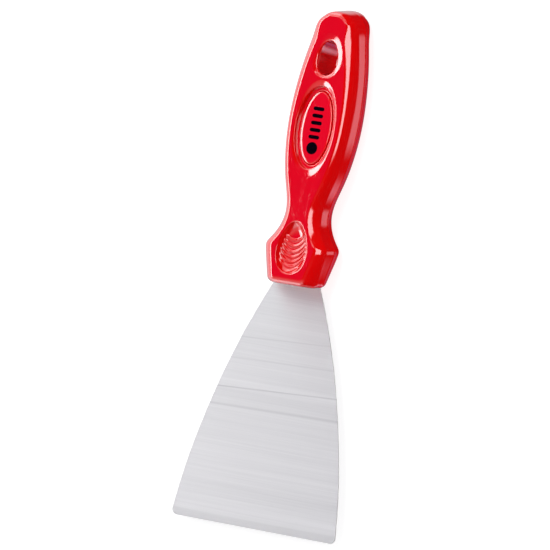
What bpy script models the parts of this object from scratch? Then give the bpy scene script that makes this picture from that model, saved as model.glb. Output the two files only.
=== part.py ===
"""Flexible putty knife: a spring-steel blade whose tang is moulded into a glossy plastic handle.

The knife lies flat on the back face of its handle. Its own frame has the blade's edge at -Y, the
hanging end at +Y and the handle's front face up, with the origin below the middle of its box.
Everything is drawn about the line where the blade enters the bolster (y = 0) and about the handle's
mid-plane (z = 0), and one empty then places the whole knife.
"""

import math

import bmesh
import bpy
import numpy as np

MM = 0.001

# Overall
HANDLE_LENGTH = 116.8 * MM
BLADE_LENGTH = 103.7 * MM
HALF_THICKNESS = 9.0 * MM
CLEARANCE = 0.3 * MM

# Handle: half-width at the parting plane along y, from the bolster's end to the start of the tip
WIDTH_STATIONS = [
    (0.0, 12.05), (4.0, 12.75), (9.0, 13.8), (14.2, 14.9), (16.3, 14.95), (18.6, 13.5),
    (22.0, 11.25), (26.0, 9.6), (31.0, 8.9), (36.0, 9.5), (44.0, 11.75), (55.0, 14.0),
    (70.0, 15.1), (84.0, 14.6), (95.0, 13.2), (104.0, 11.45),
]
# How far the flat face stays inside that outline
INSET_STATIONS = [
    (0.0, 5.7), (8.0, 5.3), (16.0, 4.8), (24.0, 4.1), (34.0, 3.8), (50.0, 3.9), (66.0, 4.1),
    (84.0, 4.3), (96.0, 4.5), (104.0, 4.75),
]
# Half-height of the side wall between the two rounded shoulders
WALL_STATIONS = [
    (0.0, 2.2), (5.0, 3.4), (16.0, 4.6), (30.0, 3.6), (50.0, 2.9), (70.0, 2.6), (104.0, 2.6),
]
# The power of the superellipse that each shoulder follows: 1 is a straight slope, 2 an ellipse
POWER_STATIONS = [(0.0, 1.7), (16.0, 1.7), (30.0, 1.85), (50.0, 2.0), (70.0, 2.05), (104.0, 2.05)]
TIP_START = 104.0 * MM
TIP_TAPER = 0.19
TIP_POWER, TIP_ROOT = 3.7, 2.2
END_FILLET = 3.0 * MM
# The flat face closes in a round end of its own, then drops over the tip
FACE_END, FACE_CLOSES, FACE_POWER, FACE_ROOT = 114.2 * MM, 114.65 * MM, 2.6, 1.8
TIP_DROP = 3.2 * MM
DRAFT = 0.2 * MM
# The cross-sections lean: their front edge stands nearer the blade by LEAN times the height
LEAN = 0.12
SHOULDER_STEPS = 5

# Hang hole: egg-shaped, a little narrower towards the tip
HOLE_Y, HOLE_HALF_LENGTH, HOLE_HALF_WIDTH, HOLE_TAPER = 95.45 * MM, 7.3 * MM, 4.65 * MM, 0.12

# Oval recess, the groove round it and the badge in it
OVAL_Y = 65.9 * MM
BADGE_HALF_LENGTH, BADGE_HALF_WIDTH = 15.4 * MM, 7.05 * MM
BADGE_THICKNESS = 1.2 * MM
BADGE_BELOW_FACE = 1.4 * MM
GROOVE_WIDTH, GROOVE_RADIUS, GROOVE_LIFT = 2.3 * MM, 1.75 * MM, 0.05 * MM

# Thumb scoop in the bolster
SCOOP_Y, SCOOP_HALF_LENGTH, SCOOP_HALF_WIDTH = 16.0 * MM, 11.6 * MM, 7.1 * MM
SCOOP_DEPTH, SCOOP_TAPER = 2.8 * MM, 0.2

# The blade lies a little behind the handle's mid-plane
BLADE_LEVEL = -1.5 * MM
# Blade: half-width along y from the bolster to the edge, and the tang inside the handle
BLADE_HALF_THICKNESS = 0.3 * MM
BLADE_STATIONS = [
    (0.0, 11.3), (-4.0, 13.2), (-12.5, 16.95), (-29.0, 23.45), (-46.0, 28.9), (-63.0, 33.4),
    (-80.0, 37.0), (-103.7, 40.15),
]
CORNER_RADIUS = 2.5 * MM
GROUND_LENGTH, GROUND_EDGE_HALF = 3.5 * MM, 0.16 * MM
TANG_HALF_WIDTH, TANG_LENGTH, TANG_SHOULDER = 5.0 * MM, 72.0 * MM, 6.5 * MM
TANG_HOLE_RADIUS = 2.3 * MM
TANG_HOLE_YS = [36.0 * MM, 50.0 * MM, 64.0 * MM]


def smooth_curve(stations, unit=MM):
    """A function of y: the natural cubic spline through the stations, whose y is in millimetres."""
    y, value = np.array(sorted(stations), float).T
    y, value = y * MM, value * unit
    step = np.diff(y)
    size = len(y)
    matrix, right = np.eye(size), np.zeros(size)
    for i in range(1, size - 1):
        matrix[i, i - 1 : i + 2] = step[i - 1], 2 * (step[i - 1] + step[i]), step[i]
        right[i] = 6 * ((value[i + 1] - value[i]) / step[i] - (value[i] - value[i - 1]) / step[i - 1])
    bend = np.linalg.solve(matrix, right)

    def at(where):
        i = int(np.clip(np.searchsorted(y, where) - 1, 0, size - 2))
        left, ahead, h = where - y[i], y[i + 1] - where, step[i]
        curved = (bend[i] * ahead**3 + bend[i + 1] * left**3) / (6 * h)
        straight = (value[i] / h - bend[i] * h / 6) * ahead + (value[i + 1] / h - bend[i + 1] * h / 6) * left
        return curved + straight

    return at


outline_width = smooth_curve(WIDTH_STATIONS)
face_inset = smooth_curve(INSET_STATIONS)
wall_height = smooth_curve(WALL_STATIONS)
shoulder_power = smooth_curve(POWER_STATIONS, 1.0)
blade_width = smooth_curve(BLADE_STATIONS)


def half_width(y):
    """The handle's half-width: the outline, closed by a rounded tip."""
    if y <= TIP_START:
        return outline_width(y)
    along = (y - TIP_START) / (HANDLE_LENGTH - TIP_START)
    taper = outline_width(TIP_START) - TIP_TAPER * (y - TIP_START)
    return taper * max(0.0, 1 - along**TIP_POWER) ** (1 / TIP_ROOT)


def fillet_drop(distance, radius):
    """How far a rounded edge has fallen at this distance inside the end face."""
    if distance >= radius:
        return 0.0
    return radius - math.sqrt(max(0.0, radius**2 - (radius - distance) ** 2))


def face_level(y):
    """The distance of each face from the mid-plane."""
    drop = fillet_drop(y, END_FILLET)
    if y > FACE_END:
        along = min(1.0, (y - FACE_END) / (HANDLE_LENGTH - FACE_END))
        drop = TIP_DROP * (1 - math.sqrt(1 - along**2))
    return HALF_THICKNESS - drop


def face_half_width(y, near_tip):
    """Half the width of the flat face."""
    if y <= TIP_START:
        return half_width(y) - face_inset(y) * near_tip
    at = min(y, FACE_END)
    along = (at - TIP_START) / (FACE_CLOSES - TIP_START)
    start = outline_width(TIP_START) - face_inset(TIP_START)
    return start * (1 - along**FACE_POWER) ** (1 / FACE_ROOT) * half_width(y) / half_width(at)


def half_section(y):
    """The right half of the section, from the front face over the shoulder and wall to the back face."""
    at = min(y, TIP_START)
    thickness, width = face_level(y), half_width(y)
    near_tip = min(1.0, width / outline_width(at))
    face = face_half_width(y, near_tip)
    wall = min(wall_height(at), 0.55 * thickness)
    power = 2 / shoulder_power(at)
    points = [(0.0, thickness)]
    for step in range(SHOULDER_STEPS + 1):
        turn = 0.5 * math.pi * step / SHOULDER_STEPS
        across = math.sin(turn) ** power if step else 0.0
        down = math.cos(turn) ** power if step < SHOULDER_STEPS else 0.0
        points.append((face + (width - DRAFT * near_tip - face) * across, wall + (thickness - wall) * down))
    below = [(x, -z) for x, z in reversed(points)]
    return points + [(width, BLADE_LEVEL)] + below


def handle_stations():
    """Where the sections stand: close together in the end fillets, the bolster's corner and the tip."""
    end = [END_FILLET * (1 - math.cos(0.5 * math.pi * i / 3)) for i in range(4)]
    bolster = list(np.linspace(5.0 * MM, 35.0 * MM, 19))
    grip = list(np.linspace(38.0 * MM, TIP_START, 15))
    reach = HANDLE_LENGTH - TIP_START
    tip = [TIP_START + reach * math.sin(0.5 * math.pi * i / 9) for i in range(1, 9)]
    return sorted(end + bolster + grip + tip + [FACE_END, HANDLE_LENGTH - 0.02 * MM])


def new_collection(name):
    collection = bpy.data.collections.new(name)
    bpy.context.scene.collection.children.link(collection)
    return collection


def principled(name, colour, roughness, metallic):
    material = bpy.data.materials.new(name)
    material.use_nodes = True
    shader = material.node_tree.nodes["Principled BSDF"]
    shader.inputs["Base Color"].default_value = (*colour, 1.0)
    shader.inputs["Roughness"].default_value = roughness
    shader.inputs["Metallic"].default_value = metallic
    return material


def object_from(mesh_builder, name, collection):
    """A mesh object made from a bmesh, with its normals facing out."""
    bmesh.ops.recalc_face_normals(mesh_builder, faces=mesh_builder.faces)
    mesh = bpy.data.meshes.new(name)
    mesh_builder.to_mesh(mesh)
    mesh_builder.free()
    obj = bpy.data.objects.new(name, mesh)
    collection.objects.link(obj)
    return obj


def prism(name, outline, low, high, collection):
    """A flat outline, extruded from low to high."""
    build = bmesh.new()
    base = build.faces.new([build.verts.new((x, y, low)) for x, y in outline])
    extruded = bmesh.ops.extrude_face_region(build, geom=[base])["geom"]
    tops = [item for item in extruded if isinstance(item, bmesh.types.BMVert)]
    bmesh.ops.translate(build, verts=tops, vec=(0, 0, high - low))
    return object_from(build, name, collection)


def cut(target, cutter, operation="DIFFERENCE"):
    modifier = target.modifiers.new(cutter.name, "BOOLEAN")
    modifier.operation = operation
    modifier.solver = "EXACT"
    modifier.object = cutter


def as_helper(obj):
    obj.hide_render = True
    obj.display_type = "WIRE"
    return obj


def handle_body(collection):
    """The handle's right half, lofted through its leaning sections, then mirrored to the left."""
    build = bmesh.new()
    rows = []
    for y in handle_stations():
        rows.append([build.verts.new((x, y - LEAN * z, z)) for x, z in half_section(y)])
    for row, following in zip(rows, rows[1:]):
        for i in range(len(row) - 1):
            build.faces.new((row[i], row[i + 1], following[i + 1], following[i]))
    build.faces.new(rows[0])
    build.faces.new(rows[-1])
    body = object_from(build, "handle", collection)
    modifier = body.modifiers.new("other_side", "MIRROR")
    modifier.use_axis = (True, False, False)
    modifier.merge_threshold = 0.00001
    return body


def hang_hole_outline(steps=40):
    points = []
    for i in range(steps):
        turn = 2 * math.pi * (i + 0.5) / steps
        along = math.sin(turn)
        across = HOLE_HALF_WIDTH * math.cos(turn) * (1 - HOLE_TAPER * along)
        points.append((across, HOLE_Y + HOLE_HALF_LENGTH * along))
    return points


def oval(half_width_x, half_length, steps=48):
    turns = [2 * math.pi * i / steps for i in range(steps)]
    return [(half_width_x * math.cos(a), OVAL_Y + half_length * math.sin(a)) for a in turns]


def groove_cutter(name, side, collection):
    """A round bar bent along the middle of the groove round the oval."""
    curve = bpy.data.curves.new(name, "CURVE")
    curve.dimensions = "3D"
    curve.bevel_depth = GROOVE_RADIUS
    curve.bevel_resolution = 2
    route = oval(BADGE_HALF_WIDTH + GROOVE_WIDTH / 2, BADGE_HALF_LENGTH + GROOVE_WIDTH / 2)
    spline = curve.splines.new("POLY")
    spline.points.add(len(route) - 1)
    level = side * (HALF_THICKNESS + GROOVE_LIFT)
    for point, (x, y) in zip(spline.points, route):
        point.co = (x, y, level, 1.0)
    spline.use_cyclic_u = True
    bar = bpy.data.objects.new(name, curve)
    collection.objects.link(bar)
    mesh = bpy.data.meshes.new_from_object(bar.evaluated_get(bpy.context.evaluated_depsgraph_get()))
    collection.objects.unlink(bar)
    bpy.data.objects.remove(bar)
    build = bmesh.new()
    build.from_mesh(mesh)
    bmesh.ops.remove_doubles(build, verts=build.verts, dist=0.000001)
    return as_helper(object_from(build, name, collection))


def scoop_cutter(name, side, collection):
    """An egg lying in the face, narrow end towards the neck."""
    build = bmesh.new()
    bmesh.ops.create_uvsphere(build, u_segments=28, v_segments=18, radius=1.0)
    for vertex in build.verts:
        along = vertex.co.y
        vertex.co.x *= SCOOP_HALF_WIDTH * (1 - SCOOP_TAPER * along)
        vertex.co.y = SCOOP_Y - side * LEAN * HALF_THICKNESS + SCOOP_HALF_LENGTH * along
        vertex.co.z = vertex.co.z * SCOOP_DEPTH + side * HALF_THICKNESS
    return as_helper(object_from(build, name, collection))


def tang_outline(grow):
    """The tang and its sloping shoulders, from the blade's entry line up to its round end."""
    entry = blade_width(0.0) + grow
    width = TANG_HALF_WIDTH + grow
    points = [(entry, -1.0 * MM if grow else 0.0), (entry, 0.4 * MM), (width, TANG_SHOULDER + grow)]
    for i in range(9):
        turn = 0.5 * math.pi * i / 8
        points.append((width * math.cos(turn), TANG_LENGTH - TANG_HALF_WIDTH + width * math.sin(turn)))
    left = [(-x, y) for x, y in reversed(points[:-1])]
    return points + left


def blade_outline():
    """The blade's flared outline with rounded corners, run on into the tang."""
    corner_y = -BLADE_LENGTH + CORNER_RADIUS
    corner_x = blade_width(corner_y) - CORNER_RADIUS
    right = []
    for i in range(7):
        turn = 0.5 * math.pi * i / 6
        right.append((corner_x + CORNER_RADIUS * math.sin(turn), corner_y - CORNER_RADIUS * math.cos(turn)))
    for y in np.linspace(corner_y, 0.0, 17)[1:-1]:
        right.append((blade_width(y), y))
    tang = tang_outline(0.0)
    left = [(-x, y) for x, y in reversed(right)]
    return right + tang + left


def ground_cutter(name, side, collection):
    """A long wedge that takes the steel off one face towards the edge."""
    reach, above = 45.0 * MM, 3.0 * MM
    top = BLADE_HALF_THICKNESS
    corners = [
        (-BLADE_LENGTH + GROUND_LENGTH, top),
        (-BLADE_LENGTH - 1.0 * MM, GROUND_EDGE_HALF - (top - GROUND_EDGE_HALF) * MM / GROUND_LENGTH),
        (-BLADE_LENGTH - 1.0 * MM, above),
        (-BLADE_LENGTH + GROUND_LENGTH, above),
    ]
    build = bmesh.new()
    base = build.faces.new([build.verts.new((-reach, y, BLADE_LEVEL + side * z)) for y, z in corners])
    extruded = bmesh.ops.extrude_face_region(build, geom=[base])["geom"]
    ends = [item for item in extruded if isinstance(item, bmesh.types.BMVert)]
    bmesh.ops.translate(build, verts=ends, vec=(2 * reach, 0, 0))
    return as_helper(object_from(build, name, collection))


def round_pin(name, y, radius, half_height, collection):
    build = bmesh.new()
    bmesh.ops.create_cone(
        build, cap_ends=True, segments=24, radius1=radius, radius2=radius, depth=2 * half_height
    )
    bmesh.ops.translate(build, verts=build.verts, vec=(0, y, BLADE_LEVEL))
    return as_helper(object_from(build, name, collection))


def make_blade(parts, helpers):
    low, high = BLADE_LEVEL - BLADE_HALF_THICKNESS, BLADE_LEVEL + BLADE_HALF_THICKNESS
    blade = prism("blade", blade_outline(), low, high, parts)
    for side, name in ((1, "ground_front"), (-1, "ground_back")):
        cut(blade, ground_cutter(name, side, helpers))
    for number, y in enumerate(TANG_HOLE_YS, 1):
        cut(blade, round_pin(f"tang_hole_{number}", y, TANG_HOLE_RADIUS, 2.0 * MM, helpers))
    return blade


def tang_slot(helpers):
    """The room that the tang fills, less the plastic that runs through the tang's holes."""
    half = BLADE_HALF_THICKNESS + CLEARANCE
    low, high = BLADE_LEVEL - half, BLADE_LEVEL + half
    slot = as_helper(prism("tang_slot", tang_outline(CLEARANCE), low, high, helpers))
    for number, y in enumerate(TANG_HOLE_YS, 1):
        name = f"anchor_{number}"
        cut(slot, round_pin(name, y, TANG_HOLE_RADIUS - CLEARANCE, 2.0 * MM, helpers))
    return slot


def make_handle(parts, helpers):
    handle = handle_body(parts)
    cut(handle, tang_slot(helpers))
    beyond = HALF_THICKNESS + 2.0 * MM
    cut(handle, as_helper(prism("hang_hole", hang_hole_outline(), -beyond, beyond, helpers)))
    seat = BADGE_BELOW_FACE + BADGE_THICKNESS + CLEARANCE
    recess = oval(BADGE_HALF_WIDTH + CLEARANCE, BADGE_HALF_LENGTH + CLEARANCE)
    for side, word in ((1, "front"), (-1, "back")):
        floor, above = sorted((side * (HALF_THICKNESS - seat), side * beyond))
        cut(handle, as_helper(prism(f"badge_seat_{word}", recess, floor, above, helpers)))
        cut(handle, groove_cutter(f"groove_{word}", side, helpers))
        cut(handle, scoop_cutter(f"scoop_{word}", side, helpers))
    return handle


def make_badge(name, side, parts):
    top = HALF_THICKNESS - BADGE_BELOW_FACE
    low, high = sorted((side * (top - BADGE_THICKNESS), side * top))
    badge = prism(name, oval(BADGE_HALF_WIDTH, BADGE_HALF_LENGTH), low, high, parts)
    edge = badge.modifiers.new("soft_edge", "BEVEL")
    edge.width = 0.25 * MM
    edge.segments = 2
    edge.limit_method = "ANGLE"
    return badge


def shade(obj, degrees=35.0):
    obj.data.shade_smooth()
    obj.data.set_sharp_from_angle(angle=math.radians(degrees))


def main():
    for obj in list(bpy.data.objects):
        bpy.data.objects.remove(obj)
    parts = new_collection("putty_knife")
    helpers = new_collection("cutters")
    red = principled("glossy_red_plastic", (0.72, 0.005, 0.012), 0.12, 0.0)
    badge_red = principled("badge_red_plastic", (0.78, 0.008, 0.025), 0.16, 0.0)
    steel = principled("ground_spring_steel", (0.72, 0.72, 0.74), 0.3, 1.0)
    handle = make_handle(parts, helpers)
    blade = make_blade(parts, helpers)
    badges = [make_badge("badge_front", 1, parts), make_badge("badge_back", -1, parts)]
    for obj, material in ((handle, red), (blade, steel), (badges[0], badge_red), (badges[1], badge_red)):
        obj.data.materials.append(material)
        shade(obj)
    knife = bpy.data.objects.new("knife_frame", None)
    parts.objects.link(knife)
    tip = max(vertex.co.y for vertex in handle.data.vertices)
    knife.location = (0, (BLADE_LENGTH - tip) / 2, HALF_THICKNESS)
    for obj in list(parts.objects) + list(helpers.objects):
        if obj is not knife:
            obj.parent = knife


main()
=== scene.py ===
import math

import bmesh
import bpy
import numpy as np
from mathutils import Matrix, Vector
from mathutils.geometry import delaunay_2d_cdt


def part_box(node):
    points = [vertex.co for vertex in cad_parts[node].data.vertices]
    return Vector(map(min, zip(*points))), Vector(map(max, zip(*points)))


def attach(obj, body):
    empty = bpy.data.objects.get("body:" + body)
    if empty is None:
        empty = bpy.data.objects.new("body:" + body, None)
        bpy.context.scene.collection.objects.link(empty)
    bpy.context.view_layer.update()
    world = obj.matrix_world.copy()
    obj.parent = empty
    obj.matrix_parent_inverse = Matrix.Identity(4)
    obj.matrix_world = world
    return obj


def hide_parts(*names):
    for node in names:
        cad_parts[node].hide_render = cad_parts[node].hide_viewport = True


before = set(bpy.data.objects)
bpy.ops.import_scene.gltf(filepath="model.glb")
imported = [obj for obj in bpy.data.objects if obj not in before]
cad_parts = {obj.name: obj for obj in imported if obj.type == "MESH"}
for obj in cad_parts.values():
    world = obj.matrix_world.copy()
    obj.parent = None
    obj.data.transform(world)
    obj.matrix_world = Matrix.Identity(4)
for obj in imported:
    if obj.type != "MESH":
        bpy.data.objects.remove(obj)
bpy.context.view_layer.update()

# Lengths are in millimetres, in the knife's own frame: y = 0 where the blade enters the bolster, and
# z = 0 at the handle's mid-plane. The blade's node says where that frame stands in the row frame.
MM = 0.001
BLADE_LENGTH = 103.7
HANDLE_LENGTH = 116.8
HALF_THICKNESS = 9.0
SHIFT_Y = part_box("blade")[0].y / MM + BLADE_LENGTH

# Stations (y, value) along the handle: its half-width at the parting plane
WIDTH_STATIONS = [
    (0.0, 12.05), (4.0, 12.75), (9.0, 13.8), (14.2, 14.9), (16.3, 14.95), (18.6, 13.5),
    (22.0, 11.25), (26.0, 9.6), (31.0, 8.9), (36.0, 9.5), (44.0, 11.75), (55.0, 14.0),
    (70.0, 15.1), (84.0, 14.6), (95.0, 13.2), (104.0, 11.45),
]
# How far inside that outline the flat face ends
INSET_STATIONS = [
    (0.0, 5.7), (8.0, 5.3), (16.0, 4.8), (24.0, 4.3), (34.0, 4.2), (50.0, 4.1), (66.0, 3.95),
    (84.0, 4.3), (96.0, 4.5), (104.0, 4.75),
]
# How far from the mid-plane the side wall ends and the shoulder starts
WALL_STATIONS = [
    (0.0, 2.2), (5.0, 3.4), (16.0, 4.6), (30.0, 3.4), (50.0, 2.6), (70.0, 2.2), (84.0, 2.4), (104.0, 3.4),
]
# The angle, in degrees, at which the shoulder leaves the face
EDGE_ANGLES = [
    (0.0, 10.0), (11.0, 11.0), (20.0, 24.0), (29.0, 28.0), (38.0, 13.0), (48.0, 8.0), (58.0, 7.0),
    (74.0, 8.0), (90.0, 18.0), (104.0, 30.0),
]
# The two handles of the shoulder's curve, as shares of its chord: at the face and at the side wall
START_HANDLES = [
    (0.0, 0.3), (16.0, 0.3), (30.0, 0.34), (50.0, 0.33), (70.0, 0.335), (88.0, 0.35), (104.0, 0.44),
]
END_HANDLES = [
    (0.0, 0.3), (16.0, 0.3), (30.0, 0.31), (50.0, 0.4), (70.0, 0.45), (88.0, 0.4), (104.0, 0.31),
]
SHOULDER_STEPS, EDGE_ROUNDING = 18, 0.4
# The side wall leans in by its slope, and takes at most a share of the height that is left at the ends
WALL_SLOPE, WALL_SHARE = 0.045, 0.55
SEAM_LEVEL, SEAM_HEIGHT, SEAM_HALF_WIDTH = -1.5, 0.06, 0.1

# Roundings at the bolster's end: over the faces' edges and at the outline's corners
END_FILLET, CORNER_FILLET = 3.4, 2.0
# The tip: the outline tapers and closes in a round end, the flat face closes in one of its own, and
# both faces drop at the last
TIP_START, TIP_TAPER, TIP_POWER, TIP_ROOT = 104.0, 0.19, 3.7, 2.2
FACE_END, FACE_CLOSES, FACE_POWER, FACE_ROOT = 114.4, 115.0, 3.7, 2.0
TIP_DROP = 3.4
# Near the tip the shoulder leaves the face at a flatter angle: where that starts, over what length it
# comes in, and by what share
FLATTER_START, FLATTER_LENGTH, FLATTER_SHARE = 106.0, 8.0, 0.75
# The sections lean: by this much y for each z, and by more above a level near the tip
LEAN, TIP_LEAN = 0.12, 0.06
TIP_LEAN_START, TIP_LEAN_LENGTH, TIP_LEAN_LEVEL = 105.0, 10.0, -4.0

# Where sections stand along the bolster and the grip (first, end and step), how many follow the round
# ends, and the last one, just inside the tip, where the outline still has a width
BOLSTER_ROWS = (END_FILLET + 0.7, 36.0, 0.7)
GRIP_ROWS = (37.2, TIP_START - 0.5, 1.4)
FILLET_ROWS, TIP_ROWS, LAST_ROW = 10, 26, HANDLE_LENGTH - 0.01
FACE_COLUMNS = 25
# A flat band between the face's wide triangles and each fine patch, which keeps the shading even
GUARD = 0.15
# Points this near, in metres, are one point, and lines this near, in millimetres, meet
WELD, TOUCH = 2e-6, 1e-7

# The oval recess, as (half-width, half-length, middle y): its lip, then its wall's top and inner foot
OVAL_Y = 65.9
LIP_OUTER, LIP_INNER = (9.95, 21.0, 65.3), (9.35, 18.1, OVAL_Y)
WALL_TOP, MOAT_FOOT = (9.05, 17.7, OVAL_Y), (7.35, 15.7, OVAL_Y)
# The lip's depth at the sides and at the ends, the power of its fall, and the drop of its rounded edge
LIP_DEPTHS, LIP_POWER, LIP_DROP = (0.2, 0.62), 1.3, 0.5
MOAT_DEPTH, WALL_LEAN, WALL_CORNER, SEAT_MARGIN = 2.3, 0.3, 0.3, 0.3
# A second ring this close to an edge keeps the edge crisp
CRISP = 0.05
OVAL_STEPS, LIP_STEPS, LIP_EDGE_STEPS, CORNER_STEPS = 160, 10, 6, 8

# The badge. Its flat middle, the start of its dome, its rounded edge and its chamfer underneath are
# distances inside its outline.
BADGE_HALF_LENGTH, BADGE_HALF_WIDTH = 15.4, 7.05
BADGE_THICKNESS, BADGE_BELOW_FACE = 1.2, 1.4
BADGE_FLAT, DOME_WIDTH, BADGE_EDGE, BADGE_CHAMFER = 2.2, 1.7, 0.5, 0.1
DOME_DROP = 0.11
DOME_STEPS, BADGE_EDGE_STEPS = 6, 8

# The hang hole and the dish round it: middle y, half-length, half-width and taper towards the tip
HOLE = (95.45, 7.3, 4.65, 0.12)
DISH = (96.7, 9.9, 7.35, 0.14)
DISH_DEPTH, DISH_POWER, RIM_RADIUS, HOLE_DRAFT = 0.36, 1.25, 0.85, 0.05
HOLE_STEPS, DISH_STEPS, RIM_STEPS, HOLE_WALL_SHARES = 120, 8, 10, (0.25, 0.6, 1.0)

SCOOP_Y, SCOOP_HALF_LENGTH, SCOOP_HALF_WIDTH, SCOOP_TAPER = 14.9, 11.2, 7.1, 0.2
SCOOP_DEPTH, SCOOP_POWER, SCOOP_SOFT = 3.2, 5.0, 0.3
# The scoop's rings run from the outer to the inner scale of its egg, and loose points fill the rest
SCOOP_OUTER, SCOOP_INNER, SCOOP_POINTS_WITHIN = 1.09, 0.93, 0.905
SCOOP_STEPS, SCOOP_RINGS = 144, 12
SCOOP_ROWS, SCOOP_COLUMNS = (-14.0, 13.0, 0.24), (-7.4, 7.4, 0.26)
RIB_YS = [18.0, 15.5, 13.0, 10.9, 8.8, 6.7]
RIB_HEIGHT, RIB_BEND, RIB_MIDDLE = 0.75, 0.12, -1.0
# A rib's width towards the blade and towards the tip, and the scale where the ribs end and how softly
RIB_WIDTHS, RIB_END, RIB_FADE = (0.42, 0.52), 0.9, 0.25

MARK_DOT, MARK_DOT_Y, MARK_DOT_STEPS, MARK_HEIGHT, MARK_GAP = 2.6, 57.2, 48, 0.04, 0.002
MARK_BAR_YS, MARK_BAR_HALF_LENGTH, MARK_BAR_HALF_WIDTH = [61.9, 64.9, 67.9, 70.9, 73.9], 2.6, 0.8

# The blade's tang: the half-width and the end of its shoulders, the half-width of its strip and the
# middle of the strip's round end, and its holes
TANG_SHOULDER, TANG_SHOULDER_END, TANG_STRIP, TANG_ROUND_END = 11.3, 6.5, 5.0, 67.0
TANG_HOLE_YS, TANG_HOLE_RADIUS, TANG_STEPS, TANG_HOLE_STEPS = (36.0, 50.0, 64.0), 2.0, 12, 24
# The slot is wider than the tang, starts outside the bolster's end and narrows from just inside it
SLOT_ROOM, SLOT_HALF_HEIGHT, SLOT_START, SLOT_NARROWS = 0.3, 0.55, -3.0, 0.4


# ---------------------------------------------------------------- the handle's surface

def smooth_curve(stations):
    """A function of y: the natural cubic spline through the stations."""
    y, value = np.array(sorted(stations), float).T
    step = np.diff(y)
    size = len(y)
    matrix, right = np.eye(size), np.zeros(size)
    for i in range(1, size - 1):
        matrix[i, i - 1 : i + 2] = step[i - 1], 2 * (step[i - 1] + step[i]), step[i]
        right[i] = 6 * ((value[i + 1] - value[i]) / step[i] - (value[i] - value[i - 1]) / step[i - 1])
    bend = np.linalg.solve(matrix, right)

    def at(where):
        i = int(np.clip(np.searchsorted(y, where) - 1, 0, size - 2))
        left, ahead, h = where - y[i], y[i + 1] - where, step[i]
        curved = (bend[i] * ahead**3 + bend[i + 1] * left**3) / (6 * h)
        falling = (value[i] / h - bend[i] * h / 6) * ahead
        rising = (value[i + 1] / h - bend[i + 1] * h / 6) * left
        return curved + (falling + rising)

    return at


outline_width = smooth_curve(WIDTH_STATIONS)
face_inset = smooth_curve(INSET_STATIONS)
wall_height = smooth_curve(WALL_STATIONS)
edge_angle = smooth_curve(EDGE_ANGLES)
start_handle = smooth_curve(START_HANDLES)
end_handle = smooth_curve(END_HANDLES)


def smoothstep(value):
    """A soft step from 0 to 1 as the value goes from 0 to 1."""
    value = min(1.0, max(0.0, value))
    return value * value * (3 - 2 * value)


def between(a, b, share):
    """This share of the way from a to b, number by number."""
    return tuple(p + (q - p) * share for p, q in zip(a, b))


def fillet_drop(distance, radius):
    """How far a rounded edge has fallen at this distance inside the end face."""
    if distance >= radius:
        return 0.0
    return radius - math.sqrt(max(0.0, radius**2 - (radius - distance) ** 2))


def rounded_edge(slope, steps):
    """Shares (across, down) of a radius, over an edge that starts at this slope and ends upright."""
    shares = []
    for i in range(1, steps + 1):
        turn = slope + (0.5 * math.pi - slope) * i / steps
        across = (math.sin(turn) - math.sin(slope)) / (1 - math.sin(slope))
        down = (math.cos(slope) - math.cos(turn)) / math.cos(slope)
        shares.append((across, down))
    return shares


def half_width(y):
    """The handle's half-width at the parting plane, with a rounded tip and rounded bolster corners."""
    if y <= TIP_START:
        return outline_width(y) - fillet_drop(y, CORNER_FILLET)
    along = (y - TIP_START) / (HANDLE_LENGTH - TIP_START)
    taper = outline_width(TIP_START) - TIP_TAPER * (y - TIP_START)
    return taper * max(0.0, 1 - along**TIP_POWER) ** (1 / TIP_ROOT)


def face_level(y):
    """The distance of either face from the mid-plane."""
    drop = fillet_drop(y, END_FILLET)
    if y > FACE_END:
        along = min(1.0, (y - FACE_END) / (HANDLE_LENGTH - FACE_END))
        drop = TIP_DROP * (1 - math.sqrt(1 - along**2))
    return HALF_THICKNESS - drop


def near_tip(y):
    """The share of its full width that the handle has here: 1 along the grip, 0 at the end of the tip."""
    return min(1.0, half_width(y) / outline_width(min(y, TIP_START)))


def face_half_width(y):
    """Half the width of the flat face, which closes in a round end of its own at the tip."""
    if y <= TIP_START:
        return half_width(y) - face_inset(y) * near_tip(y)
    at = min(y, FACE_END)
    along = (at - TIP_START) / (FACE_CLOSES - TIP_START)
    face = (outline_width(TIP_START) - face_inset(TIP_START)) * (1 - along**FACE_POWER) ** (1 / FACE_ROOT)
    return face * half_width(y) / half_width(at)


def shoulder(y, side):
    """Points (x, z) from the flat face's edge, over its small rounding, down to the side wall's top."""
    level, at = face_level(y), min(y, TIP_START)
    face = face_half_width(y)
    wall = min(wall_height(at), WALL_SHARE * level)
    side_x = half_width(y) - SEAM_HEIGHT * near_tip(y) - WALL_SLOPE * (wall - SEAM_LEVEL)
    chord = math.hypot(side_x - face, level - wall)
    flatter = FLATTER_SHARE * smoothstep((y - FLATTER_START) / FLATTER_LENGTH)
    angle = math.radians(edge_angle(at) * (1 - flatter))
    start, end = start_handle(at) * chord, end_handle(at) * chord
    away_x, away_z = math.cos(angle), -math.sin(angle)
    corners = np.array([
        (face, level),
        (face + start * away_x, level + start * away_z),
        (side_x - WALL_SLOPE * end, wall + end),
        (side_x, wall),
    ])
    # The rounding stays well inside the curve's first handle and inside half of the face
    soft = min(EDGE_ROUNDING, 0.3 * start, 0.5 * face)
    points = []
    for share in (0.0, 0.25, 0.5, 0.75):
        before, after = (1 - share) ** 2, share**2
        points.append((face - soft * before + soft * away_x * after, level + soft * away_z * after))
    first = soft / (3 * start)
    for step in range(SHOULDER_STEPS + 1):
        u = first + (1 - first) * step / SHOULDER_STEPS
        weights = np.array([(1 - u) ** 3, 3 * (1 - u) ** 2 * u, 3 * (1 - u) * u**2, u**3])
        points.append(tuple(weights @ corners))
    return [(x, side * z) for x, z in points]


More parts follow.
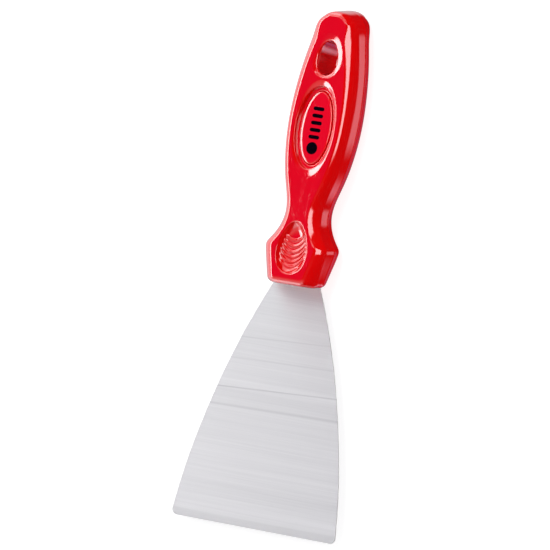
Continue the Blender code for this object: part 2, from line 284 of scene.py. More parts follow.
def skirt(y):
    """The right-hand edge of the section, from the front face's edge to the back face's edge."""
    width = half_width(y)
    rise = min(SEAM_HEIGHT, 0.2 * width)
    foot = 3 * SEAM_HALF_WIDTH
    front, back = shoulder(y, 1), shoulder(y, -1)[::-1]
    above, below = (width - rise, SEAM_LEVEL + foot), (width - rise, SEAM_LEVEL - foot)
    seam = [(width, SEAM_LEVEL + SEAM_HALF_WIDTH), (width, SEAM_LEVEL - SEAM_HALF_WIDTH)]
    front_wall = [between(front[-1], above, share) for share in (0.33, 0.66)]
    back_wall = [between(below, back[0], 0.5)]
    return front + front_wall + [above] + seam + [below] + back_wall + back


def handle_rows():
    """Where the sections stand, close together where the outline turns."""
    fillet = [END_FILLET * (1 - math.cos(0.5 * math.pi * i / FILLET_ROWS)) for i in range(FILLET_ROWS + 1)]
    straight = [*np.arange(*BOLSTER_ROWS), *np.arange(*GRIP_ROWS)]
    reach = HANDLE_LENGTH - TIP_START
    tip = [TIP_START + reach * math.sin(0.5 * math.pi * i / TIP_ROWS) for i in range(TIP_ROWS)]
    return sorted(set(round(y, 6) for y in [*fillet, *straight, *tip, FACE_END, LAST_ROW]))


def lean(x, y, z):
    """A section's point where it stands: the front leads towards the blade, and more so at the tip."""
    near = smoothstep((y - TIP_LEAN_START) / TIP_LEAN_LENGTH)
    more = TIP_LEAN * near * max(0.0, z - TIP_LEAN_LEVEL)
    return x, y - LEAN * z - more, z


class Shell:
    """Points and faces gathered from strips and patches, then welded into one closed mesh."""

    def __init__(self):
        self.points, self.faces = [], []

    def add(self, points):
        """Adds the points and returns their numbers."""
        start = len(self.points)
        self.points.extend(points)
        return list(range(start, start + len(points)))

    def grid(self, rows, closed=False):
        """Quads between rows that hold the same number of points."""
        numbers = [self.add(row) for row in rows]
        count = len(numbers[0])
        for row, following in zip(numbers, numbers[1:]):
            for i in range(count if closed else count - 1):
                j = (i + 1) % count
                self.faces.append((row[i], row[j], following[j], following[i]))

    def fan(self, ring, centre):
        """Triangles from each side of the ring to the centre."""
        numbers = self.add(list(ring) + [centre])
        for i in range(len(ring)):
            self.faces.append((numbers[i], numbers[(i + 1) % len(ring)], numbers[-1]))

    def fill(self, outer, holes, place, extra=()):
        """Triangles inside the outer loop and outside the holes, through the extra points."""
        flat, edges = [], []
        for loop in [outer, *holes]:
            start = len(flat)
            flat.extend(loop)
            edges.extend((start + i, start + (i + 1) % len(loop)) for i in range(len(loop)))
        flat.extend(extra)
        found = delaunay_2d_cdt([Vector(p) for p in flat], edges, [], 1, TOUCH)
        points, triangles = np.array([p[:] for p in found[0]]), np.array(found[2])
        middles = points[triangles].mean(axis=1)
        keep = np.ones(len(triangles), bool)
        for hole in holes:
            keep &= ~inside(middles, hole)
        numbers = self.add([place(x, y) for x, y in points])
        self.faces.extend(tuple(numbers[i] for i in triangle) for triangle in triangles[keep])

    def build(self, name):
        """The object: points that meet are welded, loose ones dropped and faces turned outwards."""
        builder = bmesh.new()
        vertices = [builder.verts.new(to_row(p)) for p in self.points]
        for face in self.faces:
            builder.faces.new([vertices[i] for i in face])
        bmesh.ops.remove_doubles(builder, verts=builder.verts, dist=WELD)
        loose = [v for v in builder.verts if not v.link_faces]
        bmesh.ops.delete(builder, geom=loose, context="VERTS")
        bmesh.ops.recalc_face_normals(builder, faces=builder.faces)
        mesh = bpy.data.meshes.new(name)
        builder.to_mesh(mesh)
        builder.free()
        mesh.shade_smooth()
        obj = bpy.data.objects.new(name, mesh)
        bpy.context.scene.collection.objects.link(obj)
        return obj


def to_row(point):
    """From the knife's own frame, in millimetres, to the row frame in metres."""
    x, y, z = point
    return Vector((x * MM, (y + SHIFT_Y) * MM, (z + HALF_THICKNESS) * MM))


def inside(points, loop):
    """Which of these points lie inside a closed loop."""
    x, y = points[:, 0], points[:, 1]
    result = np.zeros(len(points), bool)
    for (x0, y0), (x1, y1) in zip(loop, [*loop[1:], loop[0]]):
        if y0 != y1:
            crosses = (y0 > y) != (y1 > y)
            result ^= crosses & (x < x0 + (y - y0) * (x1 - x0) / (y1 - y0))
    return result


def inset_loop(loop, distance):
    """A loop that runs anticlockwise, moved inwards."""
    points = np.array(loop)
    tangent = np.roll(points, -1, axis=0) - np.roll(points, 1, axis=0)
    tangent /= np.linalg.norm(tangent, axis=1)[:, None]
    inward = np.stack([-tangent[:, 1], tangent[:, 0]], axis=1)
    return [tuple(p) for p in points + distance * inward]


def egg_loop(middle, half_length, half_width_x, taper, steps):
    """An anticlockwise loop of points round an oval that is narrower towards the tip."""
    points = []
    for i in range(steps):
        turn = 2 * math.pi * (i + 0.5) / steps
        along = math.sin(turn)
        points.append((half_width_x * math.cos(turn) * (1 - taper * along), middle + half_length * along))
    return points


def ellipse(half_x, half_y, middle, steps=OVAL_STEPS):
    return egg_loop(middle, half_y, half_x, 0.0, steps)


def oval_rings():
    """The recess round the badge, from outside in, as rings.

    A ring is (half-width, half-length, middle y, depth at the sides, depth at the ends).
    """
    rings = [(LIP_OUTER[0] + GUARD, LIP_OUTER[1] + GUARD, LIP_OUTER[2], 0.0, 0.0)]
    for i in range(LIP_STEPS + 1):
        share = i / LIP_STEPS
        depths = (depth * share**LIP_POWER for depth in LIP_DEPTHS)
        rings.append((*between(LIP_OUTER, LIP_INNER, share), *depths))
    for i in range(1, LIP_EDGE_STEPS + 1):
        turn = 0.5 * math.pi * i / LIP_EDGE_STEPS
        depths = (depth + LIP_DROP * (1 - math.cos(turn)) for depth in LIP_DEPTHS)
        rings.append((*between(LIP_INNER, WALL_TOP, math.sin(turn)), *depths))
    for i in range(CORNER_STEPS + 1):
        turn = 0.5 * math.pi * i / CORNER_STEPS
        inset = WALL_LEAN + WALL_CORNER * (1 - math.cos(turn))
        depth = MOAT_DEPTH - WALL_CORNER * (1 - math.sin(turn))
        rings.append((WALL_TOP[0] - inset, WALL_TOP[1] - inset, OVAL_Y, depth, depth))
    halfway = between(rings[-1], MOAT_FOOT, 0.5)
    seat = BADGE_BELOW_FACE + BADGE_THICKNESS + SEAT_MARGIN
    seat_edge = (MOAT_FOOT[0] - SEAT_MARGIN, MOAT_FOOT[1] - SEAT_MARGIN, OVAL_Y)
    for place, depth in (
        (halfway, MOAT_DEPTH),
        (MOAT_FOOT, MOAT_DEPTH),
        (MOAT_FOOT, MOAT_DEPTH + CRISP),
        (MOAT_FOOT, seat),
        (seat_edge, seat),
    ):
        rings.append((*place, depth, depth))
    return rings


def grown(shape, by):
    """An egg shape with both of its half-sizes larger."""
    middle, half_length, half_width_x, taper = shape
    return middle, half_length + by, half_width_x + by, taper


def hole_rings():
    """The dish and rounded rim of the hang hole, and its wall down to the parting plane: (loop, depth)."""
    rim, top = grown(HOLE, RIM_RADIUS), DISH_DEPTH + RIM_RADIUS
    rings = [(grown(DISH, GUARD), 0.0)]
    for i in range(DISH_STEPS + 1):
        share = i / DISH_STEPS
        rings.append((between(DISH, rim, share), DISH_DEPTH * share**DISH_POWER))
    slope = math.atan(DISH_POWER * DISH_DEPTH / (DISH[2] - rim[2]))
    for across, down in rounded_edge(slope, RIM_STEPS):
        rings.append((grown(HOLE, RIM_RADIUS * (1 - across)), DISH_DEPTH + RIM_RADIUS * down))
    for share in HOLE_WALL_SHARES:
        rings.append((grown(HOLE, -HOLE_DRAFT * share), top + (HALF_THICKNESS - top) * share))
    return [(egg_loop(*shape, HOLE_STEPS), depth) for shape, depth in rings]


def scoop_middle(side):
    """The scoop's middle y. The lean sets the back one further towards the tip."""
    return SCOOP_Y + (1 - side) * LEAN * HALF_THICKNESS


def scoop_loop(scale, side):
    """The scoop's egg at a scale: 1 is its edge."""
    half_length, half_width_x = scale * SCOOP_HALF_LENGTH, scale * SCOOP_HALF_WIDTH
    return egg_loop(scoop_middle(side), half_length, half_width_x, scale * SCOOP_TAPER, SCOOP_STEPS)


def scoop_scale(x, y, side):
    """The scale of the scoop's egg that runs through this point."""
    along = (y - scoop_middle(side)) / SCOOP_HALF_LENGTH
    across = x / (SCOOP_HALF_WIDTH * (1 - SCOOP_TAPER * along))
    return math.hypot(along, across)


def scoop_depth(x, y, side):
    """How deep the thumb scoop lies below the face, with its curved grip ribs."""
    scale = scoop_scale(x, y, side)
    bowl = SCOOP_DEPTH * (1 - scale**SCOOP_POWER)
    edge = SCOOP_DEPTH * (1 - SCOOP_OUTER**SCOOP_POWER)
    soft = 0.5 * (bowl + math.hypot(bowl, SCOOP_SOFT)) - 0.5 * (edge + math.hypot(edge, SCOOP_SOFT))
    bent = y - (scoop_middle(side) - SCOOP_Y) - RIB_BEND * (x - RIB_MIDDLE) ** 2
    rib = 0.0
    for rib_y in RIB_YS:
        off = bent - rib_y
        width = RIB_WIDTHS[0] if off < 0 else RIB_WIDTHS[1]
        rib = max(rib, math.exp(-((off / width) ** 2)))
    return max(0.0, soft) - RIB_HEIGHT * rib * smoothstep((RIB_END - scale) / RIB_FADE)


def scoop_points(side):
    """Points inside the scoop, in rows that follow the ribs."""
    points = []
    stagger = 0.5 * SCOOP_COLUMNS[2]
    for number, row in enumerate(np.arange(*SCOOP_ROWS)):
        for column in np.arange(*SCOOP_COLUMNS):
            x = float(column + stagger * (number % 2))
            y = float(scoop_middle(side) + row + RIB_BEND * (x - RIB_MIDDLE) ** 2)
            if scoop_scale(x, y, side) < SCOOP_POINTS_WITHIN:
                points.append((x, y))
    return points


def face_patches(shell, side):
    """The recesses in one face. It returns their outer loops, for the flat face to be filled round."""
    level = side * HALF_THICKNESS
    oval = []
    for half_x, half_y, middle, at_side, at_end in oval_rings():
        ring = []
        for x, y in ellipse(half_x, half_y, middle):
            depth = at_side + (at_end - at_side) * ((y - middle) / half_y) ** 2
            ring.append((x, y, level - side * depth))
        oval.append(ring)
    shell.grid(oval, closed=True)
    shell.fan(oval[-1], (0.0, OVAL_Y, oval[-1][0][2]))
    hole = [[(x, y, level - side * depth) for x, y in loop] for loop, depth in hole_rings()]
    shell.grid(hole, closed=True)

    def in_scoop(x, y):
        return x, y, level - side * scoop_depth(x, y, side)

    edge = scoop_loop(SCOOP_OUTER, side)
    guard = inset_loop(edge, -GUARD)
    scoop = [[(x, y, level) for x, y in loop] for loop in (guard, edge)]
    for scale in np.linspace(SCOOP_OUTER, SCOOP_INNER, SCOOP_RINGS)[1:]:
        scoop.append([in_scoop(x, y) for x, y in scoop_loop(float(scale), side)])
    shell.grid(scoop, closed=True)
    shell.fill([p[:2] for p in scoop[-1]], [], in_scoop, scoop_points(side))
    return [[p[:2] for p in rings[0]] for rings in (oval, hole, scoop)]


def handle_mesh():
    """The handle's closed shell: both skirts, both faces with their recesses, and the two end faces."""
    shell = Shell()
    rows = handle_rows()
    for mirror in (1, -1):
        shell.grid([[lean(mirror * x, y, z) for x, z in skirt(y)] for y in rows])
    columns = np.linspace(-1, 1, FACE_COLUMNS)

    def face_row(y, side):
        return [lean(c * shoulder(y, side)[0][0], y, side * face_level(y)) for c in columns]

    for side in (1, -1):
        level = side * HALF_THICKNESS
        shell.grid([face_row(y, side) for y in rows if y <= END_FILLET])
        shell.grid([face_row(y, side) for y in rows if y >= FACE_END])
        flat_rows = [y for y in rows if END_FILLET < y < FACE_END]
        sides = [lean(shoulder(y, side)[0][0], y, level)[:2] for y in flat_rows]
        bottom = [p[:2] for p in face_row(END_FILLET, side)]
        top = [p[:2] for p in face_row(FACE_END, side)][::-1]
        edge = bottom + sides + top + [(-x, y) for x, y in reversed(sides)]
        guard = inset_loop(edge, GUARD)
        shell.grid([[(x, y, level) for x, y in loop] for loop in (edge, guard)], closed=True)
        shell.fill(guard, face_patches(shell, side), lambda x, y: (x, y, level))
    for y in (rows[0], rows[-1]):
        right = skirt(y)
        top = [(c * shoulder(y, 1)[0][0], face_level(y)) for c in columns][1:-1]
        bottom = [(c * shoulder(y, -1)[0][0], -face_level(y)) for c in columns][1:-1]
        loop = top + right + bottom[::-1] + [(-x, z) for x, z in reversed(right)]
        shell.fill(loop[::-1], [], lambda x, z: lean(x, y, z))
    return shell.build("handle_moulding")


def tang_cutter():
    """The slot that the blade's tang fills, less the plastic that runs through the tang's holes."""
    entry, width = TANG_SHOULDER + SLOT_ROOM, TANG_STRIP + SLOT_ROOM
    outline = [(entry, SLOT_START), (entry, SLOT_NARROWS), (width, TANG_SHOULDER_END + SLOT_ROOM)]
    for i in range(TANG_STEPS + 1):
        turn = 0.5 * math.pi * i / TANG_STEPS
        outline.append((width * math.cos(turn), TANG_ROUND_END + width * math.sin(turn)))
    outline += [(-x, y) for x, y in reversed(outline[:-1])]
    pillars = [ellipse(TANG_HOLE_RADIUS, TANG_HOLE_RADIUS, y, TANG_HOLE_STEPS) for y in TANG_HOLE_YS]
    shell = Shell()
    ends = (SEAM_LEVEL - SLOT_HALF_HEIGHT, SEAM_LEVEL + SLOT_HALF_HEIGHT)
    for z in ends:
        shell.fill(outline, pillars, lambda x, y: (x, y, z))
    for loop in [outline, *pillars]:
        shell.grid([[(x, y, z) for x, y in loop] for z in ends], closed=True)
    return shell.build("tang_cutter")


def carved(target, cutter):
    """The target less the cutter, as a plain mesh."""
    modifier = target.modifiers.new("slot", "BOOLEAN")
    modifier.operation = "DIFFERENCE"
    modifier.solver = "EXACT"
    modifier.object = cutter
    evaluated = target.evaluated_get(bpy.context.evaluated_depsgraph_get())
    mesh = bpy.data.meshes.new_from_object(evaluated)
    target.modifiers.clear()
    target.data = mesh
    bpy.data.objects.remove(cutter)
    return target


def badge_mesh(name, side):
    """The oval badge: a flat middle, a shallow dome round it and a rounded edge."""
    top = HALF_THICKNESS - BADGE_BELOW_FACE
    insets = [(BADGE_FLAT, 0.0)]
    for i in range(DOME_STEPS + 1):
        share = i / DOME_STEPS
        insets.append((BADGE_EDGE + (DOME_WIDTH - BADGE_EDGE) * (1 - share), DOME_DROP * share**2))
    slope = math.atan(2 * DOME_DROP / (DOME_WIDTH - BADGE_EDGE))
    for across, down in rounded_edge(slope, BADGE_EDGE_STEPS):
        insets.append((BADGE_EDGE * (1 - across), DOME_DROP + BADGE_EDGE * down))
    insets += [(0.0, BADGE_THICKNESS - BADGE_CHAMFER), (BADGE_CHAMFER, BADGE_THICKNESS)]
    placed = []
    for inset, depth in insets:
        loop = ellipse(BADGE_HALF_WIDTH - inset, BADGE_HALF_LENGTH - inset, OVAL_Y)
        placed.append([(x, y, side * (top - depth)) for x, y in loop])
    shell = Shell()
    shell.grid(placed, closed=True)
    shell.fan(placed[0], (0.0, OVAL_Y, side * top))
    shell.fan(placed[-1], (0.0, OVAL_Y, side * (top - BADGE_THICKNESS)))
    return shell.build(name)


def pill(half_length, radius, y, steps=8):
    """A bar across the knife with rounded ends."""
    points = []
    for end in (1, -1):
        for i in range(steps + 1):
            turn = math.pi * (i / steps - 0.5) + (0 if end > 0 else math.pi)
            straight = end * (half_length - radius)
            points.append((straight + radius * math.cos(turn), y + radius * math.sin(turn)))
    return points


def mark_mesh():
    """A plain mark printed on the front badge: a dot and a row of short bars."""
    low = HALF_THICKNESS - BADGE_BELOW_FACE + MARK_GAP
    levels = (low, low + MARK_HEIGHT)
    loops = [ellipse(MARK_DOT, MARK_DOT, MARK_DOT_Y, MARK_DOT_STEPS)]
    for y in MARK_BAR_YS:
        loops.append(pill(MARK_BAR_HALF_LENGTH, MARK_BAR_HALF_WIDTH, y))
    shell = Shell()
    for loop in loops:
        shell.grid([[(x, y, z) for x, y in loop] for z in levels], closed=True)
        for z in levels:
            shell.fill(loop, [], lambda x, y: (x, y, z))
    mark = shell.build("badge_mark")
    mark.data.shade_flat()
    return mark


# ---------------------------------------------------------------- materials

# Main colour, deep colour and roughness of each red plastic
HANDLE_RED = ((0.82, 0.0006, 0.0006), (0.79, 0.0005, 0.0004), 0.065)
BADGE_RED = ((0.87, 0.0008, 0.006), (0.82, 0.0006, 0.0045), 0.08)
PLASTIC_IOR, COAT_ROUGHNESS = 1.6, 0.04
INK_FULL, INK_THIN, INK_IOR = (0.001, 0.0005, 0.0005, 1), (0.006, 0.001, 0.001, 1), 1.35
STEEL_DARK, STEEL_LIGHT = (0.56, 0.56, 0.555, 1), (0.9, 0.9, 0.89, 1)
# Strength of each bump and its depth in metres
PEEL_BUMP, SCRATCH_BUMP, FLOW_BUMP = (0.06, 0.0002), (0.13, 0.00006), (0.16, 0.00004)
GRIND_BUMP = (0.2, 0.00002)
# Deeper grinding lines on the blade: y, slope, half-width and strength
DEEP_LINES = [
    (-45.6, 0.05, 0.5, 1.0), (-54.0, 0.02, 0.9, 0.6), (-24.0, 0.05, 0.5, 0.45), (-33.5, 0.03, 0.6, 0.4),
]
# The ground edge's band ends between these distances from the edge
EDGE_BAND = (2.8, 3.6)


class Graph:
    """A short way to write node materials."""

    def __init__(self, tree):
        self.tree = tree
        tree.nodes.clear()

    def node(self, kind, inputs=(), **settings):
        made = self.tree.nodes.new(kind)
        for key, value in settings.items():
            setattr(made, key, value)
        for key, value in dict(inputs).items():
            self.feed(made.inputs[key], value)
        return made

    def feed(self, socket, value):
        """Links an output to the socket, or sets the socket to a plain value."""
        if isinstance(value, bpy.types.NodeSocket):
            self.tree.links.new(value, socket)
        else:
            socket.default_value = value

    def math(self, operation, *values):
        made = self.node("ShaderNodeMath", operation=operation)
        for socket, value in zip(made.inputs, values):
            self.feed(socket, value)
        return made.outputs[0]

    def ramp(self, value, low, high, out_low=0.0, out_high=1.0, smooth=True):
        """Maps low..high to out_low..out_high, softly at both ends or straight, and stops there."""
        made = self.node(
            "ShaderNodeMapRange",
            {"Value": value, "From Min": low, "From Max": high, "To Min": out_low, "To Max": out_high},
            interpolation_type="SMOOTHSTEP" if smooth else "LINEAR",
        )
        return made.outputs["Result"]

    def noise(self, vector, scale, detail=2.0, roughness=0.5, distortion=0.0):
        inputs = {"Vector": vector, "Scale": scale, "Detail": detail, "Roughness": roughness}
        return self.node("ShaderNodeTexNoise", {**inputs, "Distortion": distortion}).outputs["Fac"]

    def stretched(self, vector, scale, rotation=(0, 0, 0)):
        made = self.node("ShaderNodeMapping", {"Vector": vector, "Scale": scale, "Rotation": rotation})
        return made.outputs[0]

    def bump(self, height, strength, distance, normal=None):
        made = self.node("ShaderNodeBump", {"Height": height, "Strength": strength, "Distance": distance})
        if normal is not None:
            self.feed(made.inputs["Normal"], normal)
        return made.outputs[0]

    def mix_colour(self, factor, a, b):
        """From colour a to colour b. A Mix node keeps its colours in inputs 6 and 7 and in output 2."""
        made = self.node("ShaderNodeMix", data_type="RGBA")
        self.feed(made.inputs[0], factor)
        self.feed(made.inputs[6], a)
        self.feed(made.inputs[7], b)
        return made.outputs[2]

    def principled(self, **values):
        shader = self.node("ShaderNodeBsdfPrincipled")
        for key, value in values.items():
            self.feed(shader.inputs[key.replace("_", " ")], value)
        output = self.node("ShaderNodeOutputMaterial")
        self.tree.links.new(shader.outputs[0], output.inputs["Surface"])
        return shader


def new_material(name):
    material = bpy.data.materials.new(name)
    material.use_nodes = True
    return material, Graph(material.node_tree)


def moulded_plastic(name, colour, deep, roughness):
    """Glossy moulded plastic: faint colour flow, orange peel, hairline scratches and swirled flow marks."""
    material, graph = new_material(name)
    place = graph.node("ShaderNodeTexCoord").outputs["Object"]
    flow = graph.noise(graph.stretched(place, (90, 30, 90)), 1.0, 3.0, 0.55, 1.2)
    base = graph.mix_colour(graph.ramp(flow, 0.35, 0.7), (*colour, 1), (*deep, 1))
    haze = graph.noise(place, 260.0, 3.0, 0.6)
    peel = graph.noise(place, 420.0, 1.0, 0.4)

    hair = graph.noise(graph.stretched(place, (5200, 160, 1200), (0, 0, 0.5)), 1.0, 1.0)
    nick = graph.noise(graph.stretched(place, (2600, 420, 900), (0, 0, -0.9)), 1.0, 1.0)
    lines = graph.math("MAXIMUM", graph.ramp(hair, 0.66, 0.74), graph.ramp(nick, 0.68, 0.76))
    worn = graph.ramp(graph.noise(place, 55.0, 2.0), 0.5, 0.62)
    scratches = graph.math("MULTIPLY", lines, worn)

    swirl = graph.noise(graph.stretched(place, (150, 110, 150)), 1.0, 1.0, 0.5, 2.5)
    off = graph.math("ABSOLUTE", graph.math("SUBTRACT", swirl, 0.5))
    here = graph.ramp(graph.noise(place, 40.0, 1.0), 0.52, 0.64)
    flow_marks = graph.math("MULTIPLY", graph.ramp(off, 0.0, 0.014, 1.0, 0.0), here)

    normal = graph.bump(peel, *PEEL_BUMP)
    normal = graph.bump(scratches, *SCRATCH_BUMP, normal)
    normal = graph.bump(flow_marks, *FLOW_BUMP, normal)
    hazy = graph.ramp(haze, 0.3, 0.8, roughness * 0.75, roughness * 1.4)
    rough = graph.math("ADD", hazy, graph.math("MULTIPLY", scratches, 0.05))
    shader = graph.principled(Base_Color=base, Roughness=rough, Normal=normal)
    shader.inputs["IOR"].default_value = PLASTIC_IOR
    shader.inputs["Coat Weight"].default_value = 1.0
    shader.inputs["Coat IOR"].default_value = PLASTIC_IOR
    shader.inputs["Coat Roughness"].default_value = COAT_ROUGHNESS
    return material


def ground_steel(name):
    """Spring steel ground across its width: fine lines, deeper ones, faint bands and a ground edge."""
    material, graph = new_material(name)
    place = graph.node("ShaderNodeTexCoord").outputs["Object"]
    x, y, _ = graph.node("ShaderNodeSeparateXYZ", {"Vector": place}).outputs
    fine = graph.noise(graph.stretched(place, (22, 5200, 60)), 1.0, 4.0, 0.65)
    coarse = graph.noise(graph.stretched(place, (6, 900, 20)), 1.0, 3.0, 0.6)
    band = graph.noise(graph.stretched(place, (3, 130, 2)), 1.0, 3.0, 0.6)
    grain = graph.math("ADD", graph.math("MULTIPLY", fine, 0.6), graph.math("MULTIPLY", coarse, 0.4))
    tone = graph.math("ADD", graph.math("MULTIPLY", grain, 0.55), graph.math("MULTIPLY", band, 0.45))
    shade = graph.ramp(tone, 0.3, 0.7, 0.0, 1.0, smooth=False)
    for line_y, slope, reach, strength in DEEP_LINES:
        across = graph.math("ADD", y, graph.math("MULTIPLY", x, -slope))
        off = graph.math("ABSOLUTE", graph.math("SUBTRACT", across, (SHIFT_Y + line_y) * MM))
        line = graph.ramp(off, 0.0, reach * MM, strength, 0.0)
        broken = graph.math("MULTIPLY", line, graph.ramp(fine, 0.3, 0.6, 0.6, 1.0))
        shade = graph.math("SUBTRACT", shade, broken)
    band_low, band_high = ((SHIFT_Y - BLADE_LENGTH + distance) * MM for distance in EDGE_BAND)
    shade = graph.math("SUBTRACT", shade, graph.ramp(y, band_low, band_high, 0.35, 0.0))
    base = graph.mix_colour(graph.ramp(shade, -1.0, 1.0, smooth=False), STEEL_DARK, STEEL_LIGHT)
    rough = graph.ramp(grain, 0.3, 0.7, 0.46, 0.52, smooth=False)
    normal = graph.bump(grain, *GRIND_BUMP)
    tangent = graph.node("ShaderNodeCombineXYZ", {"X": 1.0, "Y": 0.0, "Z": 0.0}).outputs[0]
    shader = graph.principled(Base_Color=base, Roughness=rough, Normal=normal, Tangent=tangent)
    shader.inputs["Metallic"].default_value = 1.0
    shader.inputs["Anisotropic"].default_value = 1.0
    shader.inputs["Anisotropic Rotation"].default_value = 0.25
    return material


def printed_ink(name):
    """Black pad print with a slight gloss, a little thin in places."""
    material, graph = new_material(name)
    place = graph.node("ShaderNodeTexCoord").outputs["Object"]
    speck = graph.noise(place, 2600.0, 2.0, 0.6)
    base = graph.mix_colour(graph.ramp(speck, 0.45, 0.75), INK_FULL, INK_THIN)
    shader = graph.principled(Base_Color=base, Roughness=graph.ramp(speck, 0.3, 0.7, 0.07, 0.12))
    shader.inputs["IOR"].default_value = INK_IOR
    return material


# ---------------------------------------------------------------- pieces

handle_red = moulded_plastic("handle_red", *HANDLE_RED)
badge_red = moulded_plastic("badge_red", *BADGE_RED)
steel = ground_steel("blade_steel")

handle = carved(handle_mesh(), tang_cutter())
handle.data.materials.clear()
handle.data.materials.append(handle_red)
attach(handle, "root")
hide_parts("handle")

for name, side in (("badge_front", 1), ("badge_back", -1)):
    badge = badge_mesh(f"{name}_moulding", side)
    badge.data.materials.append(badge_red)
    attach(badge, "root")
    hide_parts(name)

mark = mark_mesh()
mark.data.materials.append(printed_ink("mark_ink"))
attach(mark, "root")

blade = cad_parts["blade"]
blade.data.materials.clear()
blade.data.materials.append(steel)


# ---------------------------------------------------------------- stage, light and camera

FLOOR_SIZE, FLOOR_Z = 12.0, -0.0001
FLOOR_GREY, FLOOR_GLOW = 0.4, 0.82
AMBIENT = (0.56, 0.56, 0.57)
# What the studio reflects: a broad field on the left, a faint glow all round, and soft boxes. A box is
# its angle from +Z towards +X (low, high), its tilt towards +Y (low, high), its softness, all in
# degrees, and its colour.
LEFT_FIELD, FAINT_GLOW = (1.0, 0.98, 1.0), (0.01, 0.01, 0.015)
SOFT_BOXES = [
    # The left ridge: a bright core and a wider, weaker box round it
    (-62, -40, -28, 30, 3, (5.9, 5.9, 5.9)),
    (-62, -40, -40, 48, 3, (1.3, 1.3, 1.3)),
    # A bar overhead, beyond the tip
    (-60, 20, 28, 36, 2.5, (2.3, 2.3, 2.3)),
    # The right ridge
    (28, 56, -7, 34, 3, (4.3, 4.3, 4.3)),
    # The side wall along the grip, then at the bolster
    (136, 147, -4, 18, 3, (0.85, 0.7, 0.78)),
    (143, 157, -60, -15, 6, (1.6, 1.2, 1.5)),
    # Dim violet from below
    (160, 200, -38, -15, 4, (0.1, 0.04, 0.12)),
    (165, 188, -70, 10, 8, (0.14, 0.1, 0.18)),
    # Bands beyond the tip and beyond the edge, which light the blade
    (-110, 26, 38, 80, 4, (0.42, 0.42, 0.43)),
    (-110, 26, -80, -50, 9, (0.85, 0.85, 0.85)),
    (-110, 26, 54, 80, 5, (0.8, 0.8, 0.8)),
    (-110, 26, -80, -19, 14, (0.5, 0.5, 0.52)),
    # A faint violet over the flat face
    (-43, -5, -15, 26, 6, (0.03, 0.006, 0.13)),
]
KEY_PLACE, KEY_SIZE, KEY_POWER = (-0.35, 0.75, 1.6), 1.1, 18.5

# The line of sight, in degrees: turned from +Z towards +X, tilted towards +Y, then rolled
VIEW_TURN, VIEW_TILT, VIEW_ROLL = 30.0, -1.277, 10.494
# In metres: the camera's distance, the width it sees there, and where it stands beside the pivot
VIEW_DISTANCE, VIEW_WIDTH = 3.0, 0.23004
VIEW_ASIDE, VIEW_ABOVE = -0.009904, -0.002677
PIVOT = Vector((0, 0, 0.009))
SENSOR = 36.0
FARTHEST = 100.0


def floor_piece():
    """A pale floor that is clear from below and doesn't show in reflections."""
    bpy.ops.mesh.primitive_plane_add(size=FLOOR_SIZE, location=(0, 0, FLOOR_Z))
    floor = bpy.context.object
    floor.name = "floor"
    material, graph = new_material("floor_white")
    back = graph.node("ShaderNodeNewGeometry").outputs["Backfacing"]
    paper = graph.node("ShaderNodeBsdfDiffuse", {"Color": (FLOOR_GREY, FLOOR_GREY, FLOOR_GREY, 1)})
    glow = graph.node("ShaderNodeEmission", {"Color": (1, 1, 1, 1), "Strength": FLOOR_GLOW})
    both = graph.node("ShaderNodeAddShader", {0: paper.outputs[0], 1: glow.outputs[0]})
    clear = graph.node("ShaderNodeBsdfTransparent")
    chosen = graph.node("ShaderNodeMixShader", {0: back, 1: both.outputs[0], 2: clear.outputs[0]})
    graph.node("ShaderNodeOutputMaterial", {"Surface": chosen.outputs[0]})
    floor.data.materials.append(material)
    floor.visible_glossy = False


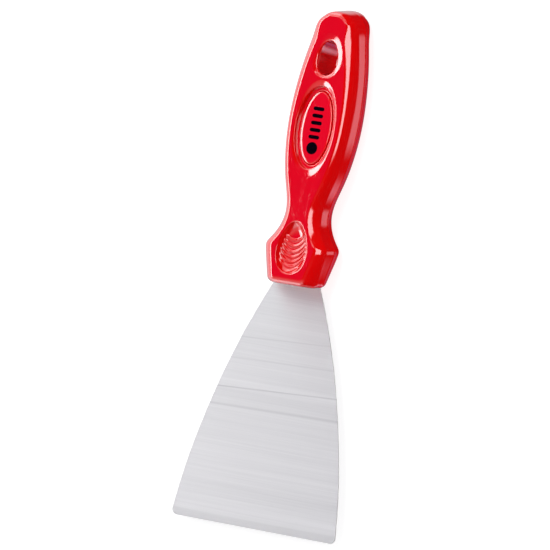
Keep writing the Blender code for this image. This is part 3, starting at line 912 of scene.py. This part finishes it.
def studio_world():
    """White for the eye, an even glow for diffuse light, and a ring of soft boxes for reflections."""
    world = bpy.data.worlds.new("studio")
    bpy.context.scene.world = world
    world.use_nodes = True
    graph = Graph(world.node_tree)
    direction = graph.node("ShaderNodeTexCoord").outputs["Generated"]
    x, y, z = graph.node("ShaderNodeSeparateXYZ", {"Vector": direction}).outputs
    round_y = graph.math("MULTIPLY", graph.math("ARCTAN2", x, z), 180 / math.pi)
    tilt = graph.math("MULTIPLY", graph.math("ARCSINE", y), 180 / math.pi)

    def window(value, low, high, soft):
        up = graph.ramp(value, low - soft, low + soft)
        down = graph.ramp(value, high - soft, high + soft, 1.0, 0.0)
        return graph.math("MULTIPLY", up, down)

    def scaled(colour, factor):
        made = graph.node("ShaderNodeVectorMath", {0: colour, "Scale": factor}, operation="SCALE")
        return made.outputs[0]

    def added(a, b):
        return graph.node("ShaderNodeVectorMath", {0: a, 1: b}, operation="ADD").outputs[0]

    # The left field fades in towards -X, out towards +Z, and dims towards -Z
    left = graph.math("MULTIPLY", graph.ramp(x, -0.15, -0.38), graph.ramp(z, 0.5, 0.3))
    left = graph.math("MULTIPLY", left, graph.ramp(z, -0.65, -0.1, 0.55, 1.35))
    total = added(scaled(LEFT_FIELD, left), FAINT_GLOW)
    for low, high, tilt_low, tilt_high, soft, colour in SOFT_BOXES:
        around, above = window(round_y, low, high, soft), window(tilt, tilt_low, tilt_high, soft)
        total = added(total, scaled(colour, graph.math("MULTIPLY", around, above)))
    path = graph.node("ShaderNodeLightPath")
    glow = graph.mix_colour(path.outputs["Is Diffuse Ray"], (1.0, 1.0, 1.0, 1.0), (*AMBIENT, 1.0))
    seen = graph.mix_colour(path.outputs["Is Glossy Ray"], glow, total)
    background = graph.node("ShaderNodeBackground", {"Color": seen, "Strength": 1.0})
    graph.node("ShaderNodeOutputWorld", {"Surface": background.outputs[0]})
    world.cycles.sampling_method = "NONE"


def soft_light(name, position, target, size, power):
    """A round area light that faces the target and shows in no reflection."""
    data = bpy.data.lights.new(name, "AREA")
    data.shape = "DISK"
    data.size = size
    data.energy = power
    light = bpy.data.objects.new(name, data)
    light.location = position
    light.rotation_euler = (Vector(position) - Vector(target)).to_track_quat("Z", "Y").to_euler()
    light.visible_glossy = False
    light.visible_camera = False
    bpy.context.scene.collection.objects.link(light)


def make_camera():
    """The camera, which looks down its line of sight from beside the pivot."""
    turn, tilt, roll = (math.radians(angle) for angle in (VIEW_TURN, VIEW_TILT, VIEW_ROLL))
    towards = Vector((math.sin(turn) * math.cos(tilt), math.sin(tilt), math.cos(turn) * math.cos(tilt)))
    level_right = Vector((0, 1, 0)).cross(towards).normalized()
    level_up = towards.cross(level_right)
    right = level_right * math.cos(roll) + level_up * math.sin(roll)
    up = level_up * math.cos(roll) - level_right * math.sin(roll)
    data = bpy.data.cameras.new("camera")
    data.sensor_width = SENSOR
    data.lens = VIEW_DISTANCE * SENSOR / VIEW_WIDTH
    data.clip_end = FARTHEST
    camera = bpy.data.objects.new("camera", data)
    bpy.context.scene.collection.objects.link(camera)
    place = PIVOT + towards * VIEW_DISTANCE + right * VIEW_ASIDE + up * VIEW_ABOVE
    axes = Matrix((right, up, towards)).transposed().to_4x4()
    camera.matrix_world = Matrix.Translation(place) @ axes
    bpy.context.scene.camera = camera


floor_piece()
studio_world()
soft_light("key", KEY_PLACE, (0, 0, 0), KEY_SIZE, KEY_POWER)
make_camera()
bpy.context.scene.view_settings.view_transform = "Standard"
